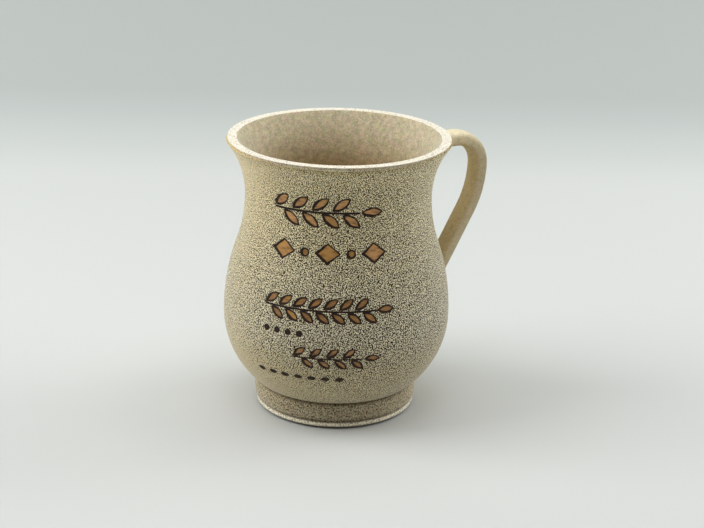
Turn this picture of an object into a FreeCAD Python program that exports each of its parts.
import FreeCAD, Part
import math
import os

import Sketcher
from FreeCAD import Placement, Rotation, Vector

# Ritual hand-washing cup in cast stone: a flared and bellied cup, one strap handle let into its wall,
# a barrelled foot ring, a base plate with a bead edge, a felt pad, and engraved bands filled with colour.
# Z is up, the cup's axis is the Z axis and the handle stands over the +X axis.
# The origin is the centre of the resting face. Lengths are in millimetres and angles in degrees.

LENGTHS = {
    # Heights of the parts of the outline, from the table up
    "pad_proud": 0.6,
    "plate_thickness": 2.7,
    "ring_height": 10.0,
    "belly_rise": 32.7,
    "neck_rise": 57.1,
    "rim_rise": 26.9,
    # Radii of the outline, each from its neighbour
    "neck_radius": 43.2,
    "rim_flare": 8.8,
    "belly_swell": 9.9,
    "foot_tuck": 15.0,
    # Walls of the cup
    "wall": 4.7,
    "floor_thickness": 4.7,
    "floor_round": 10.0,
    "spigot_shoulder": 7.0,
    "spigot_depth": 4.0,
    # Foot ring
    "ring_inset": 0.6,
    "ring_swell": 0.8,
    "ring_edge_round": 0.4,
    # Base plate and felt pad
    "boss_height": 3.0,
    "pad_margin": 3.3,
    "pad_recess": 1.0,
    "pad_clearance": 0.3,
    # Handle
    "handle_standoff": 32.1,
    "handle_drop": 7.6,
    "handle_corner_radius": 13.6,
    "handle_back_radius": 46.9,
    "handle_foot_rise": 9.8,
    "handle_width": 10.4,
    "handle_thickness": 7.0,
    "handle_edge_round": 2.2,
    "tenon_depth": 2.2,
    "glue_gap": 0.1,
    # Engraved bands
    "leaf_length": 8.6,
    "leaf_width": 3.5,
    "leaf_gap": 0.3,
    "stem_width": 0.9,
    "outline_width": 0.55,
    "engraving_depth": 0.8,
    "line_sink": 0.25,
    "colour_sink": 0.45,
    "cutter_reach": 3.0,
}

# Shares of the sizes above
SHARES = {
    "belly_curve_share": 0.59,
    "lip_outer_round_share": 0.15,
    "lip_inner_round_share": 0.12,
    "plate_edge_round_share": 0.45,
    "lozenge_width_share": 0.8,
    "dot_share": 0.3,
    "chain_pitch_share": 1.6,
    "seed_width_share": 0.6,
    "row_pitch_share": 1.6,
}

ANGLES = {
    "leaf_tilt_angle": 38.0,
}

doc = FreeCAD.newDocument("washing_cup")
sheet = doc.addObject("Spreadsheet::Sheet", "Sizes")
for row, (alias, value) in enumerate({**LENGTHS, **SHARES, **ANGLES}.items(), start=1):
    sheet.set("A%d" % row, alias.replace("_", " "))
    sheet.set("B%d" % row, str(value))
    sheet.setAlias("B%d" % row, alias)
doc.recompute()


def size(alias):
    """The number that the sheet holds under this alias."""
    return float(sheet.getPropertyByName(alias))


# Heights and radii of the outline as formulas of the sheet, for the sketches
PLATE_BASE = "Sizes.pad_proud"
RING_BASE = "(Sizes.pad_proud + Sizes.plate_thickness)"
SEAM_HEIGHT = "(Sizes.pad_proud + Sizes.plate_thickness + Sizes.ring_height)"
BELLY_HEIGHT = "(%s + Sizes.belly_rise)" % SEAM_HEIGHT
NECK_HEIGHT = "(%s + Sizes.neck_rise)" % BELLY_HEIGHT
CUP_HEIGHT = "(%s + Sizes.rim_rise)" % NECK_HEIGHT
RIM_RADIUS = "(Sizes.neck_radius + Sizes.rim_flare)"
BELLY_RADIUS = "(Sizes.neck_radius + Sizes.belly_swell)"
SEAM_RADIUS = "(%s - Sizes.foot_tuck)" % BELLY_RADIUS
UPPER_CURVE = (
    "(Sizes.belly_curve_share * (Sizes.belly_swell ^ 2 + Sizes.neck_rise ^ 2)"
    " / (2 * Sizes.belly_swell))"
)
LIP_OUTER_ROUND = "(Sizes.lip_outer_round_share * Sizes.wall)"
LIP_INNER_ROUND = "(Sizes.lip_inner_round_share * Sizes.wall)"
SPIGOT_RADIUS = "(%s - Sizes.spigot_shoulder)" % SEAM_RADIUS
RING_BORE = "(%s + Sizes.glue_gap)" % SPIGOT_RADIUS
RING_END_RADIUS = "(%s - Sizes.ring_inset)" % SEAM_RADIUS
PAD_RADIUS = "(%s - Sizes.pad_margin)" % RING_END_RADIUS
HANDLE_REACH = "(Sizes.neck_radius + Sizes.handle_standoff)"
HANDLE_RUN_HEIGHT = "(%s - Sizes.handle_drop)" % CUP_HEIGHT
HANDLE_FOOT_HEIGHT = "(%s + Sizes.handle_foot_rise)" % BELLY_HEIGHT
HANDLE_FOOT_RADIUS = (
    "(%s - %s + sqrt(%s ^ 2 - Sizes.handle_foot_rise ^ 2))" % (BELLY_RADIUS, UPPER_CURVE, UPPER_CURVE)
)
HANDLE_START_RADIUS = "(Sizes.neck_radius - 2 * Sizes.wall)"
HANDLE_END_RADIUS = "(%s - 2 * Sizes.wall)" % HANDLE_FOOT_RADIUS

# The same heights and radii as numbers, for drawing the curves
seam_height = size("pad_proud") + size("plate_thickness") + size("ring_height")
belly_height = seam_height + size("belly_rise")
neck_height = belly_height + size("neck_rise")
cup_height = neck_height + size("rim_rise")
neck_radius = size("neck_radius")
rim_radius = neck_radius + size("rim_flare")
belly_radius = neck_radius + size("belly_swell")
seam_radius = belly_radius - size("foot_tuck")
wall = size("wall")

# Radius and centre of each curve of the outline: lower belly, upper belly, neck and flare.
# An arc that stands upright at one end and passes a point d across and h up from there
# has the radius (d^2 + h^2) / 2d. The belly and neck arcs share that length between them.
lower_curve = (size("foot_tuck") ** 2 + size("belly_rise") ** 2) / (2 * size("foot_tuck"))
s_curve_sum = (size("belly_swell") ** 2 + size("neck_rise") ** 2) / (2 * size("belly_swell"))
upper_curve = size("belly_curve_share") * s_curve_sum
neck_curve = s_curve_sum - upper_curve
lip_outer_round = size("lip_outer_round_share") * wall
lip_inner_round = size("lip_inner_round_share") * wall
flare_across = size("rim_flare") - lip_outer_round
flare_up = size("rim_rise") - lip_outer_round
flare_curve = (flare_across**2 + flare_up**2 - lip_outer_round**2) / (2 * size("rim_flare"))

lower_centre = (belly_radius - lower_curve, belly_height)
upper_centre = (belly_radius - upper_curve, belly_height)
neck_centre = (neck_radius + neck_curve, neck_height)
flare_centre = (neck_radius + flare_curve, neck_height)
lip_outer_centre = (rim_radius - lip_outer_round, cup_height - lip_outer_round)
lip_inner_reach = flare_curve + wall - lip_inner_round
lip_inner_height = cup_height - lip_inner_round
lip_inner_centre = (
    flare_centre[0] - math.sqrt(lip_inner_reach**2 - (lip_inner_height - neck_height) ** 2),
    lip_inner_height,
)
floor_height = seam_height + size("floor_thickness")
floor_round_height = floor_height + size("floor_round")
floor_round_reach = lower_curve - wall - size("floor_round")
floor_round_centre = (
    lower_centre[0] + math.sqrt(floor_round_reach**2 - (belly_height - floor_round_height) ** 2),
    floor_round_height,
)


def angle_to(centre, point):
    """Direction from a centre to a point, in radians."""
    return math.atan2(point[1] - centre[1], point[0] - centre[0])


def on_circle(centre, radius, angle):
    """The point of a circle at an angle in radians."""
    return (centre[0] + radius * math.cos(angle), centre[1] + radius * math.sin(angle))


seam_turn = angle_to(lower_centre, (seam_radius, seam_height))
s_turn = angle_to(upper_centre, neck_centre)
lip_turn = angle_to(flare_centre, lip_outer_centre)
lip_inner_turn = angle_to(flare_centre, lip_inner_centre)
floor_turn = angle_to(lower_centre, floor_round_centre)


# Sketch helpers: a stroke is the index of a line or arc with the numbers of its start and end points
def draw_line(sketch, start, end):
    """Draws a line and returns its stroke."""
    index = sketch.addGeometry(Part.LineSegment(Vector(*start, 0), Vector(*end, 0)), False)
    return (index, 1, 2)


def draw_arc(sketch, centre, start, end, clockwise=False):
    """Draws an arc about a centre from start to end and returns its stroke."""
    first, last = (end, start) if clockwise else (start, end)
    circle = Part.Circle(Vector(*centre, 0), Vector(0, 0, 1), math.dist(centre, start))
    turn = angle_to(centre, last) - angle_to(centre, first)
    begin = angle_to(centre, first)
    index = sketch.addGeometry(Part.ArcOfCircle(circle, begin, begin + turn % (2 * math.pi)), False)
    return (index, 2, 1) if clockwise else (index, 1, 2)


def join(sketch, strokes, smooth, closed=True):
    """Ties each stroke's end to the next one's start, tangent where smooth names the pair."""
    followers = strokes[1:] + strokes[:1] if closed else strokes[1:]
    for place, (one, two) in enumerate(zip(strokes, followers)):
        kind = "Tangent" if place in smooth else "Coincident"
        sketch.addConstraint(Sketcher.Constraint(kind, one[0], one[2], two[0], two[1]))


def drive(sketch, kind, where, value, formula):
    """Adds a dimension and binds it to a formula of the sheet."""
    index = sketch.addConstraint(Sketcher.Constraint(kind, *where, value))
    sketch.setExpression("Constraints[%d]" % index, formula)


def fix(sketch, kind, *where):
    """Adds a constraint that has no size."""
    sketch.addConstraint(Sketcher.Constraint(kind, *where))


def new_body(label):
    """A body of its own for one sub-part or one blank."""
    body = doc.addObject("PartDesign::Body", label)
    body.Label = label
    return body


def new_sketch(body, name, role):
    """A sketch on one of the body's own origin planes."""
    sketch = body.newObject("Sketcher::SketchObject", name)
    plane = next(item for item in body.Origin.OriginFeatures if item.Role == role)
    sketch.AttachmentSupport = (plane, [""])
    sketch.MapMode = "FlatFace"
    return sketch


def turn_profile(body, sketch, name):
    """Turns a closed profile once about the cup's axis."""
    feature = body.newObject("PartDesign::Revolution", name)
    feature.Profile = sketch
    feature.ReferenceAxis = (sketch, ["V_Axis"])
    feature.Angle = 360
    doc.recompute()
    return feature


def round_edges(body, base, name, radius, formula, picked):
    """Rounds the edges of a feature that the picked test names."""
    edges = [
        "Edge%d" % number
        for number, edge in enumerate(base.Shape.Edges, start=1)
        if picked(edge)
    ]
    fillet = body.newObject("PartDesign::Fillet", name)
    fillet.Base = (base, edges)
    fillet.Radius = radius
    fillet.setExpression("Radius", formula)
    doc.recompute()
    return fillet


# Cup: one turned profile, outside up to the lip and inside back down to the floor
def cup_blank():
    body = new_body("cup_blank")
    sketch = new_sketch(body, "cup_profile", "XZ_Plane")
    spigot_radius = seam_radius - size("spigot_shoulder")
    spigot_base = seam_height - size("spigot_depth")
    seam = (seam_radius, seam_height)
    widest = (belly_radius, belly_height)
    inflection = on_circle(upper_centre, upper_curve, s_turn)
    neck = (neck_radius, neck_height)
    lip_start = on_circle(flare_centre, flare_curve, lip_turn)
    lip_top = (lip_outer_centre[0], cup_height)
    lip_top_inner = (lip_inner_centre[0], cup_height)
    lip_end = on_circle(flare_centre, flare_curve + wall, lip_inner_turn)
    inner_neck = (neck_radius - wall, neck_height)
    inner_inflection = on_circle(upper_centre, upper_curve - wall, s_turn)
    inner_widest = (belly_radius - wall, belly_height)
    floor_start = on_circle(lower_centre, lower_curve - wall, floor_turn)
    floor_edge = (floor_round_centre[0], floor_height)
    strokes = [
        draw_line(sketch, (0, spigot_base), (spigot_radius, spigot_base)),
        draw_line(sketch, (spigot_radius, spigot_base), (spigot_radius, seam_height)),
        draw_line(sketch, (spigot_radius, seam_height), seam),
        draw_arc(sketch, lower_centre, seam, widest),
        draw_arc(sketch, upper_centre, widest, inflection),
        draw_arc(sketch, neck_centre, inflection, neck, clockwise=True),
        draw_arc(sketch, flare_centre, neck, lip_start, clockwise=True),
        draw_arc(sketch, lip_outer_centre, lip_start, lip_top),
        draw_line(sketch, lip_top, lip_top_inner),
        draw_arc(sketch, lip_inner_centre, lip_top_inner, lip_end),
        draw_arc(sketch, flare_centre, lip_end, inner_neck),
        draw_arc(sketch, neck_centre, inner_neck, inner_inflection),
        draw_arc(sketch, upper_centre, inner_inflection, inner_widest, clockwise=True),
        draw_arc(sketch, lower_centre, inner_widest, floor_start, clockwise=True),
        draw_arc(sketch, floor_round_centre, floor_start, floor_edge, clockwise=True),
        draw_line(sketch, floor_edge, (0, floor_height)),
        draw_line(sketch, (0, floor_height), (0, spigot_base)),
    ]
    join(sketch, strokes, smooth=range(3, 15))
    (base, side, shoulder, lower, upper, neck_arc, flare, lip_out, top, lip_in) = range(10)
    (inner_flare, inner_neck_arc, inner_upper, inner_lower, floor_arc, floor, axis) = range(10, 17)
    for level in (base, shoulder, top, floor):
        fix(sketch, "Horizontal", level)
    for upright in (side, axis):
        fix(sketch, "Vertical", upright)
    fix(sketch, "PointOnObject", base, 1, -2)
    drive(sketch, "DistanceY", (base, 1), spigot_base, "%s - Sizes.spigot_depth" % SEAM_HEIGHT)
    drive(sketch, "DistanceX", (side, 2), spigot_radius, SPIGOT_RADIUS)
    drive(sketch, "DistanceY", (side, 2), seam_height, SEAM_HEIGHT)
    drive(sketch, "DistanceX", (lower, 1), seam_radius, SEAM_RADIUS)
    drive(sketch, "DistanceX", (lower, 2), belly_radius, BELLY_RADIUS)
    drive(sketch, "DistanceY", (lower, 2), belly_height, BELLY_HEIGHT)
    drive(sketch, "DistanceY", (lower, 3), belly_height, BELLY_HEIGHT)
    drive(sketch, "Radius", (upper,), upper_curve, UPPER_CURVE)
    drive(sketch, "DistanceX", (flare, 2), neck_radius, "Sizes.neck_radius")
    drive(sketch, "DistanceY", (flare, 2), neck_height, NECK_HEIGHT)
    drive(sketch, "DistanceY", (neck_arc, 3), neck_height, NECK_HEIGHT)
    drive(sketch, "DistanceY", (top, 1), cup_height, CUP_HEIGHT)
    drive(sketch, "Radius", (lip_out,), lip_outer_round, LIP_OUTER_ROUND)
    lip_out_formula = "%s - %s" % (RIM_RADIUS, LIP_OUTER_ROUND)
    drive(sketch, "DistanceX", (lip_out, 3), lip_outer_centre[0], lip_out_formula)
    fix(sketch, "Coincident", inner_flare, 3, flare, 3)
    drive(sketch, "DistanceX", (inner_flare, 2), inner_neck[0], "Sizes.neck_radius - Sizes.wall")
    fix(sketch, "Coincident", inner_neck_arc, 3, neck_arc, 3)
    fix(sketch, "Coincident", inner_upper, 3, upper, 3)
    fix(sketch, "Coincident", inner_lower, 3, lower, 3)
    drive(sketch, "Radius", (lip_in,), lip_inner_round, LIP_INNER_ROUND)
    drive(sketch, "Radius", (floor_arc,), size("floor_round"), "Sizes.floor_round")
    drive(sketch, "DistanceY", (floor, 1), floor_height, "%s + Sizes.floor_thickness" % SEAM_HEIGHT)
    turn_profile(body, sketch, "cup_turning")
    return body


# Foot ring: barrelled outside, with a bore that takes the cup's spigot above and the plate's boss below
def foot_ring():
    body = new_body("foot_ring")
    sketch = new_sketch(body, "ring_profile", "XZ_Plane")
    bore = seam_radius - size("spigot_shoulder") + size("glue_gap")
    end_radius = seam_radius - size("ring_inset")
    base_height = size("pad_proud") + size("plate_thickness")
    half_height = size("ring_height") / 2
    barrel = (half_height**2 + size("ring_swell") ** 2) / (2 * size("ring_swell"))
    barrel_centre = (end_radius + size("ring_swell") - barrel, base_height + half_height)
    strokes = [
        draw_line(sketch, (bore, base_height), (end_radius, base_height)),
        draw_arc(sketch, barrel_centre, (end_radius, base_height), (end_radius, seam_height)),
        draw_line(sketch, (end_radius, seam_height), (bore, seam_height)),
        draw_line(sketch, (bore, seam_height), (bore, base_height)),
    ]
    join(sketch, strokes, smooth=())
    (bottom, barrel_arc, top, bore_line) = range(4)
    fix(sketch, "Horizontal", bottom)
    fix(sketch, "Horizontal", top)
    fix(sketch, "Vertical", bore_line)
    fix(sketch, "Vertical", barrel_arc, 1, barrel_arc, 2)
    drive(sketch, "DistanceX", (bottom, 1), bore, RING_BORE)
    drive(sketch, "DistanceX", (bottom, 2), end_radius, RING_END_RADIUS)
    drive(sketch, "DistanceY", (bottom, 1), base_height, RING_BASE)
    drive(sketch, "DistanceY", (top, 1), seam_height, SEAM_HEIGHT)
    barrel_formula = (
        "((Sizes.ring_height / 2) ^ 2 + Sizes.ring_swell ^ 2) / (2 * Sizes.ring_swell)"
    )
    drive(sketch, "Radius", (barrel_arc,), barrel, barrel_formula)
    turning = turn_profile(body, sketch, "ring_turning")

    def outer_edge(edge):
        flat = edge.BoundBox.ZLength < size("glue_gap")
        return flat and edge.BoundBox.XMax > end_radius - size("glue_gap")

    round_value = size("ring_edge_round")
    round_edges(body, turning, "ring_edges", round_value, "Sizes.ring_edge_round", outer_edge)
    return body


# Base plate: a disc with a bead edge, a boss above and a shallow recess below
def base_plate():
    body = new_body("base_plate")
    end_radius = seam_radius - size("ring_inset")
    boss_radius = seam_radius - size("spigot_shoulder")

    def disc_sketch(name, radius, formula, height_formula):
        sketch = new_sketch(body, name, "XY_Plane")
        circle = Part.Circle(Vector(0, 0, 0), Vector(0, 0, 1), radius)
        sketch.addGeometry(circle, False)
        fix(sketch, "Coincident", 0, 3, -1, 1)
        drive(sketch, "Radius", (0,), radius, formula)
        sketch.setExpression("AttachmentOffset.Base.z", height_formula)
        return sketch

    disc = body.newObject("PartDesign::Pad", "plate_disc")
    disc.Profile = disc_sketch("plate_outline", end_radius, RING_END_RADIUS, PLATE_BASE)
    disc.setExpression("Length", "Sizes.plate_thickness")
    doc.recompute()

    def bead_edge(edge):
        return edge.BoundBox.ZLength < size("glue_gap")

    round_value = size("plate_edge_round_share") * size("plate_thickness")
    round_formula = "Sizes.plate_edge_round_share * Sizes.plate_thickness"
    round_edges(body, disc, "plate_bead", round_value, round_formula, bead_edge)
    boss = body.newObject("PartDesign::Pad", "plate_boss")
    boss.Profile = disc_sketch("boss_outline", boss_radius, SPIGOT_RADIUS, RING_BASE)
    boss.setExpression("Length", "Sizes.boss_height")
    doc.recompute()
    recess = body.newObject("PartDesign::Pocket", "pad_recess")
    recess_radius = end_radius - size("pad_margin") + size("pad_clearance")
    recess_formula = "%s + Sizes.pad_clearance" % PAD_RADIUS
    recess.Profile = disc_sketch("recess_outline", recess_radius, recess_formula, PLATE_BASE)
    recess.Reversed = True
    recess.setExpression("Length", "Sizes.pad_recess")
    doc.recompute()
    removed = boss.Shape.Volume - recess.Shape.Volume
    wanted = math.pi * recess_radius**2 * size("pad_recess")
    if abs(removed - wanted) > wanted / 100:
        raise RuntimeError("the pad recess cuts %.1f instead of %.1f mm3" % (removed, wanted))
    return body


# Felt pad: a disc let into the plate, standing proud of it
def base_pad():
    pad = doc.addObject("Part::Cylinder", "base_pad")
    pad.Label = "base_pad"
    pad.setExpression("Radius", PAD_RADIUS)
    pad.setExpression("Height", "Sizes.pad_proud + Sizes.pad_recess")
    pad.Placement = Placement()
    return pad


# Strap of the handle: a rounded section carried from the cup's wall out, down and back in.
# The strap runs on inside the wall at both ends, and grow_formula widens it all round.
def strap(label, grow, grow_formula):
    body = new_body(label)
    reach = neck_radius + size("handle_standoff")
    run_height = cup_height - size("handle_drop")
    corner = size("handle_corner_radius")
    back = size("handle_back_radius")
    start = (neck_radius - 2 * wall, run_height)
    corner_centre = (reach - corner, run_height - corner)
    back_centre = (reach - back, run_height - corner)
    foot_rise = size("handle_foot_rise")
    foot_radius = upper_centre[0] + math.sqrt(upper_curve**2 - foot_rise**2)
    foot = (foot_radius, belly_height + foot_rise)
    foot_distance = math.dist(back_centre, foot)
    tail_turn = angle_to(back_centre, foot) + math.acos(back / foot_distance)
    tail_start = on_circle(back_centre, back, tail_turn)
    end_radius = foot_radius - 2 * wall
    slope = (foot[1] - tail_start[1]) / (foot[0] - tail_start[0])
    tail_end = (end_radius, foot[1] + slope * (end_radius - foot_radius))

    path = new_sketch(body, label + "_path", "XZ_Plane")
    strokes = [
        draw_line(path, start, (corner_centre[0], run_height)),
        draw_arc(path, corner_centre, (corner_centre[0], run_height), (reach, corner_centre[1]), True),
        draw_arc(path, back_centre, (reach, corner_centre[1]), tail_start, True),
        draw_line(path, tail_start, tail_end),
    ]
    join(path, strokes, smooth=range(3), closed=False)
    foot_mark = path.addGeometry(Part.Point(Vector(*foot, 0)), True)
    (run, corner_arc, back_arc, tail) = range(4)
    fix(path, "Horizontal", run)
    fix(path, "Horizontal", corner_arc, 3, back_arc, 3)
    drive(path, "DistanceX", (run, 1), start[0], HANDLE_START_RADIUS)
    drive(path, "DistanceY", (run, 1), run_height, HANDLE_RUN_HEIGHT)
    drive(path, "Radius", (corner_arc,), corner, "Sizes.handle_corner_radius")
    drive(path, "Radius", (back_arc,), back, "Sizes.handle_back_radius")
    corner_formula = "%s - Sizes.handle_corner_radius" % HANDLE_REACH
    drive(path, "DistanceX", (corner_arc, 3), corner_centre[0], corner_formula)
    drive(path, "DistanceX", (foot_mark, 1), foot[0], HANDLE_FOOT_RADIUS)
    drive(path, "DistanceY", (foot_mark, 1), foot[1], HANDLE_FOOT_HEIGHT)
    fix(path, "PointOnObject", foot_mark, 1, tail)
    drive(path, "DistanceX", (tail, 2), end_radius, HANDLE_END_RADIUS)

    section = new_sketch(body, label + "_section", "YZ_Plane")
    section.setExpression("AttachmentOffset.Base.y", HANDLE_RUN_HEIGHT)
    section.setExpression("AttachmentOffset.Base.z", HANDLE_START_RADIUS)
    half_width = size("handle_width") / 2 + grow
    half_depth = size("handle_thickness") / 2 + grow
    edge = size("handle_edge_round")
    across = half_width - edge
    up = half_depth - edge
    corners = [(across, -up), (across, up), (-across, up), (-across, -up)]
    before = [(across, -half_depth), (half_width, up), (-across, half_depth), (-half_width, -up)]
    after = [(half_width, -up), (across, half_depth), (-half_width, up), (-across, -half_depth)]
    outline = []
    for number, centre in enumerate(corners):
        outline.append(draw_arc(section, centre, before[number], after[number]))
        outline.append(draw_line(section, after[number], before[(number + 1) % 4]))
    join(section, outline, smooth=range(8))
    (arc_one, right, arc_two, top, arc_three, left, arc_four, bottom) = range(8)
    for arc in (arc_two, arc_three, arc_four):
        fix(section, "Equal", arc_one, arc)
    fix(section, "Vertical", right)
    fix(section, "Vertical", left)
    fix(section, "Horizontal", top)
    fix(section, "Horizontal", bottom)
    drive(section, "Radius", (arc_one,), edge, "Sizes.handle_edge_round")
    half_width_formula = "Sizes.handle_width / 2 + %s" % grow_formula
    half_depth_formula = "Sizes.handle_thickness / 2 + %s" % grow_formula
    drive(section, "DistanceX", (right, 1), half_width, half_width_formula)
    drive(section, "DistanceY", (top, 1), half_depth, half_depth_formula)
    whole_width = (left, 1, right, 2)
    whole_depth = (bottom, 1, top, 2)
    drive(section, "DistanceX", whole_width, 2 * half_width, "2 * (%s)" % half_width_formula)
    drive(section, "DistanceY", whole_depth, 2 * half_depth, "2 * (%s)" % half_depth_formula)
    doc.recompute()

    pipe = body.newObject("PartDesign::AdditivePipe", label + "_sweep")
    pipe.Profile = section
    pipe.Spine = (path, ["Edge%d" % number for number in range(1, 5)])
    pipe.Mode = "Standard"
    doc.recompute()
    return body


# Solid inside the cup's outer face moved inwards by an inset, filled to the axis.
# It trims what is let into the wall, so tenons, sockets and engravings follow the wall's curve.
def core_solid(inset):
    def point(centre, radius, angle):
        across, up = on_circle(centre, radius, angle)
        return Vector(across, 0, up)

    spans = (
        (lower_centre, lower_curve - inset, seam_turn, 0),
        (upper_centre, upper_curve - inset, 0, s_turn),
        (neck_centre, neck_curve + inset, s_turn + math.pi, math.pi),
        (flare_centre, flare_curve + inset, math.pi, lip_turn),
    )
    edges = []
    for centre, radius, begin, end in spans:
        first = point(centre, radius, begin)
        middle = point(centre, radius, (begin + end) / 2)
        edges.append(Part.Arc(first, middle, point(centre, radius, end)).toShape())
    low = edges[0].Vertexes[0].Point
    high = edges[-1].Vertexes[-1].Point
    axis_low = Vector(0, 0, low.z)
    axis_high = Vector(0, 0, high.z)
    edges.append(Part.makeLine(high, axis_high))
    edges.append(Part.makeLine(axis_high, axis_low))
    edges.append(Part.makeLine(axis_low, low))
    profile = Part.Face(Part.Wire(edges))
    return profile.revolve(Vector(0, 0, 0), Vector(0, 0, 1), 360)


def feature_of(label, shape):
    """A document object that holds a shape made from the sheet's sizes."""
    feature = doc.addObject("Part::Feature", label)
    feature.Label = label
    feature.Shape = shape
    feature.Placement = Placement()
    return feature


def wall_at(height):
    """Radius of the cup's outer face at a height, and its outward direction as (across, up)."""
    inflection_height = on_circle(upper_centre, upper_curve, s_turn)[1]
    if height > neck_height:
        centre, curve, side = flare_centre, flare_curve, -1
    elif height > inflection_height:
        centre, curve, side = neck_centre, neck_curve, -1
    elif height > belly_height:
        centre, curve, side = upper_centre, upper_curve, 1
    else:
        centre, curve, side = lower_centre, lower_curve, 1
    rise = height - centre[1]
    across = side * math.sqrt(curve**2 - rise**2)
    return centre[0] + across, (side * across / curve, side * rise / curve)


# Engraved bands. A motif is a flat figure laid on the wall at a height and an angle about the axis,
# its length along the band. Each has a dark outline and a coloured middle, or is dark all over.
def leaf_wire(length, width):
    """A pointed oval of two arcs through the tips."""
    tips = (Vector(-length / 2, 0, 0), Vector(length / 2, 0, 0))
    lower = Part.Arc(tips[0], Vector(0, -width / 2, 0), tips[1]).toShape()
    upper = Part.Arc(tips[1], Vector(0, width / 2, 0), tips[0]).toShape()
    return Part.Wire([lower, upper])


def lozenge_wire(length, width):
    """A diamond with its long diagonal along the band."""
    corners = [
        Vector(-length / 2, 0, 0),
        Vector(0, -width / 2, 0),
        Vector(length / 2, 0, 0),
        Vector(0, width / 2, 0),
    ]
    return Part.makePolygon(corners + corners[:1])


def dot_wire(length, width):
    """A circle whose diameter is the mean of length and width."""
    return Part.Wire([Part.makeCircle((length + width) / 4)])


def border_wire(wire_maker, length, width):
    """The figure's outline with the border's width added all round."""
    border = size("outline_width")
    diagonal = math.hypot(length, width)
    if wire_maker is leaf_wire:
        return leaf_wire(length + border * diagonal / width, width + 2 * border)
    if wire_maker is lozenge_wire:
        return lozenge_wire(length + 2 * border * diagonal / width, width + 2 * border * diagonal / length)
    return dot_wire(length + 2 * border, width + 2 * border)


def lay(face, height, angle, tilt, low, high):
    """A flat figure set square to the wall, from low to high as seen from its face."""
    radius, (across, up) = wall_at(height)
    turn = math.radians(angle)
    outward = Vector(across * math.cos(turn), across * math.sin(turn), up)
    sideways = Vector(-math.sin(turn), math.cos(turn), 0)
    upward = outward.cross(sideways)
    spot = Vector(radius * math.cos(turn), radius * math.sin(turn), height) + outward * low
    figure = face.copy()
    figure.rotate(Vector(0, 0, 0), Vector(0, 0, 1), tilt)
    on_wall = Placement(spot, Rotation(sideways, upward, outward, "XYZ"))
    figure.Placement = on_wall.multiply(figure.Placement)
    return figure.extrude(outward * (high - low))


def stem_line(height, width, first_angle, last_angle, low, high):
    """A level line round part of the wall, from low to high as seen from its face."""
    radius, (across, up) = wall_at(height)
    outward = Vector(across, 0, up)
    upward = Vector(-up, 0, across) * (width / 2)
    inner = Vector(radius, 0, height) + outward * low
    outer = Vector(radius, 0, height) + outward * high
    corners = [inner - upward, outer - upward, outer + upward, inner + upward]
    oblong = Part.Face(Part.makePolygon(corners + corners[:1]))
    line = oblong.revolve(Vector(0, 0, 0), Vector(0, 0, 1), last_angle - first_angle)
    line.rotate(Vector(0, 0, 0), Vector(0, 0, 1), first_angle)
    return line


def motif(wire_maker, length, width, spot, coloured=True):
    """The cutter, the dark line and the coloured middle of one figure."""
    bottom = -size("engraving_depth")
    middle = wire_maker(length, width)
    if not coloured:
        face = Part.Face(middle)
        line = lay(face, *spot, bottom, -size("line_sink"))
        return lay(face, *spot, bottom, size("cutter_reach")), line, None
    border = border_wire(wire_maker, length, width)
    cutter = lay(Part.Face(border), *spot, bottom, size("cutter_reach"))
    ring = Part.makeFace([border, middle], "Part::FaceMakerBullseye")
    line = lay(ring, *spot, bottom, -size("line_sink"))
    return cutter, line, lay(Part.Face(middle), *spot, bottom, -size("colour_sink"))


def sprig(height, first_angle, last_angle, scale_share):
    """Leaves to both sides of a level stem in turn, all leaning the same way, and one at its tip."""
    length = size("leaf_length") * scale_share
    width = size("leaf_width") * scale_share
    stem = size("stem_width") * scale_share
    tilt = size("leaf_tilt_angle")
    lean = math.radians(tilt)
    radius, (across, up) = wall_at(height)
    reach = border_wire(leaf_wire, length, width).BoundBox.XLength / 2
    least_pitch = (width + 2 * size("outline_width") + size("leaf_gap")) / math.sin(lean)
    span = math.radians(last_angle - first_angle) * radius
    stem_end = span - 2 * reach - size("leaf_gap")
    pairs = int((stem_end - 2 * reach * math.cos(lean)) / least_pitch + 1 / 2)
    pitch = (stem_end - 2 * reach * math.cos(lean)) / (pairs - 1 / 2)
    aside = (reach * math.sin(lean) + stem / 2 + size("leaf_gap")) * across
    stem_angle = first_angle + math.degrees(stem_end / radius)
    stem_place = (height, stem, first_angle, stem_angle, -size("engraving_depth"))
    cutter = stem_line(*stem_place, size("cutter_reach"))
    pieces = [(cutter, stem_line(*stem_place, -size("line_sink")), None)]
    for number in range(2 * pairs):
        side = 1 if number % 2 == 0 else -1
        place = number * pitch / 2 + reach * math.cos(lean)
        angle = first_angle + math.degrees(place / radius)
        spot = (height + side * aside, angle, side * tilt)
        pieces.append(motif(leaf_wire, length, width, spot))
    tip_angle = last_angle - math.degrees(reach / radius)
    pieces.append(motif(leaf_wire, length, width, (height, tip_angle, 0)))
    return pieces


def chain(height, first_angle, last_angle, scale_share):
    """Lozenges along a level line with a dot between each two."""
    length = size("leaf_length") * scale_share
    width = length * size("lozenge_width_share")
    dot = length * size("dot_share")
    radius = wall_at(height)[0]
    span = math.radians(last_angle - first_angle) * radius
    count = int((span - length) / (length * size("chain_pitch_share"))) + 1
    step = (span - length) / (2 * count - 2)
    pieces = []
    for number in range(2 * count - 1):
        spot = (height, first_angle + math.degrees((length / 2 + number * step) / radius), 0)
        if number % 2 == 0:
            pieces.append(motif(lozenge_wire, length, width, spot))
        else:
            pieces.append(motif(dot_wire, dot, dot, spot))
    return pieces


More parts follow.
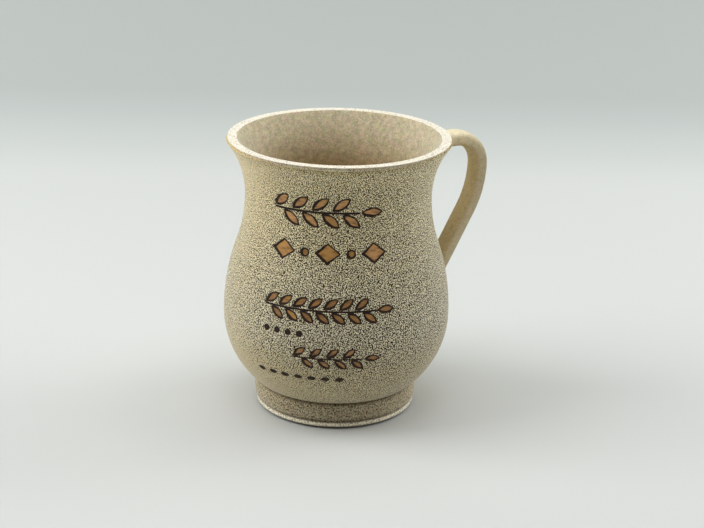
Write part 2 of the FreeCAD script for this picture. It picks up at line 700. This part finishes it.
def dark_row(wire_maker, height, first_angle, last_angle, scale_share):
    """Small figures in a row, dark all over."""
    length = size("leaf_length") * scale_share
    width = length if wire_maker is dot_wire else length * size("seed_width_share")
    span = math.radians(last_angle - first_angle) * wall_at(height)[0]
    count = int(span / (length * size("row_pitch_share")))
    step = (last_angle - first_angle) / count
    spots = [(height, first_angle + (number + 1 / 2) * step, 0) for number in range(count)]
    return [motif(wire_maker, length, width, spot, coloured=False) for spot in spots]


def dot_row(*place):
    """A row of dark dots."""
    return dark_row(dot_wire, *place)


def seed_row(*place):
    """A row of dark seeds, each a small pointed oval."""
    return dark_row(leaf_wire, *place)


# The bands from the top down, each at a share of the cup's height and with its own scale share
BANDS = {
    "upper_sprig": {"maker": sprig, "height_share": 0.822, "angles": (-158, -91), "scale_share": 1.0},
    "lozenge_chain": {"maker": chain, "height_share": 0.68, "angles": (-157, -90), "scale_share": 1.2},
    "middle_sprig": {"maker": sprig, "height_share": 0.49, "angles": (-156, -88), "scale_share": 0.78},
    "dot_row": {"maker": dot_row, "height_share": 0.404, "angles": (-157, -133), "scale_share": 0.33},
    "lower_sprig": {"maker": sprig, "height_share": 0.318, "angles": (-139, -96), "scale_share": 0.66},
    "seed_row": {"maker": seed_row, "height_share": 0.235, "angles": (-163, -112), "scale_share": 0.46},
}


def engravings():
    """The cutter for the cup, and the line and colour inlays of each band."""
    cutters = []
    inlays = []
    for label, band in BANDS.items():
        height = cup_height * band["height_share"]
        pieces = band["maker"](height, *band["angles"], band["scale_share"])
        cutters.extend(cutter for cutter, line, middle in pieces)
        middles = [middle for cutter, line, middle in pieces if middle]
        if middles:
            inlays.append((label + "_colour", Part.makeCompound(middles)))
        inlays.append((label + "_lines", Part.makeCompound([line for cutter, line, middle in pieces])))
    return Part.makeCompound(cutters), inlays


# Cup body and handle: the strap ends are let into the wall and the bands are engraved
blank = cup_blank()
ring = foot_ring()
plate = base_plate()
pad = base_pad()

handle_strap = strap("handle_strap", 0, "0")
handle_core = feature_of("tenon_core", core_solid(size("tenon_depth")))
handle = doc.addObject("Part::Cut", "handle")
handle.Label = "handle"
handle.Base = handle_strap
handle.Tool = handle_core

socket_strap = strap("socket_strap", size("glue_gap"), "Sizes.glue_gap")
socket_core = feature_of("socket_core", core_solid(size("tenon_depth") + size("glue_gap")))
sockets = doc.addObject("Part::Cut", "sockets")
sockets.Base = socket_strap
sockets.Tool = socket_core

engraving_cutter, inlay_groups = engravings()
engraving = feature_of("engraving", engraving_cutter)
socketed = doc.addObject("Part::Cut", "socketed_cup")
socketed.Base = blank
socketed.Tool = sockets
cup = doc.addObject("Part::Cut", "cup_body")
cup.Label = "cup_body"
cup.Base = socketed
cup.Tool = engraving
doc.recompute()

inlays = [feature_of(label, shape) for label, shape in inlay_groups]
doc.recompute()

# Checks before anything is written
sub_parts = [cup, handle, ring, plate, pad] + inlays
for item in doc.Objects:
    if {"Invalid", "Error"} & set(item.State):
        raise RuntimeError("%s failed: %s" % (item.Label, item.State))
for item in doc.Objects:
    if item.TypeId == "Sketcher::SketchObject" and item.solve() != 0:
        raise RuntimeError("%s doesn't solve" % item.Label)
for item in sub_parts:
    if item.Shape.isNull() or not item.Shape.isValid():
        raise RuntimeError("%s has no valid shape" % item.Label)

os.makedirs("parts", exist_ok=True)
for item in sub_parts:
    item.Shape.exportStep("parts/%s.step" % item.Label)
    box = item.Shape.optimalBoundingBox()
    print(
        "%-22s %3d solids %10.1f mm3  x %6.1f %6.1f  y %6.1f %6.1f  z %6.1f %6.1f"
        % (item.Label, len(item.Shape.Solids), item.Shape.Volume,
           box.XMin, box.XMax, box.YMin, box.YMax, box.ZMin, box.ZMax)
    )
print("cup height %.1f, rim radius %.1f, belly radius %.1f" % (cup_height, rim_radius, belly_radius))
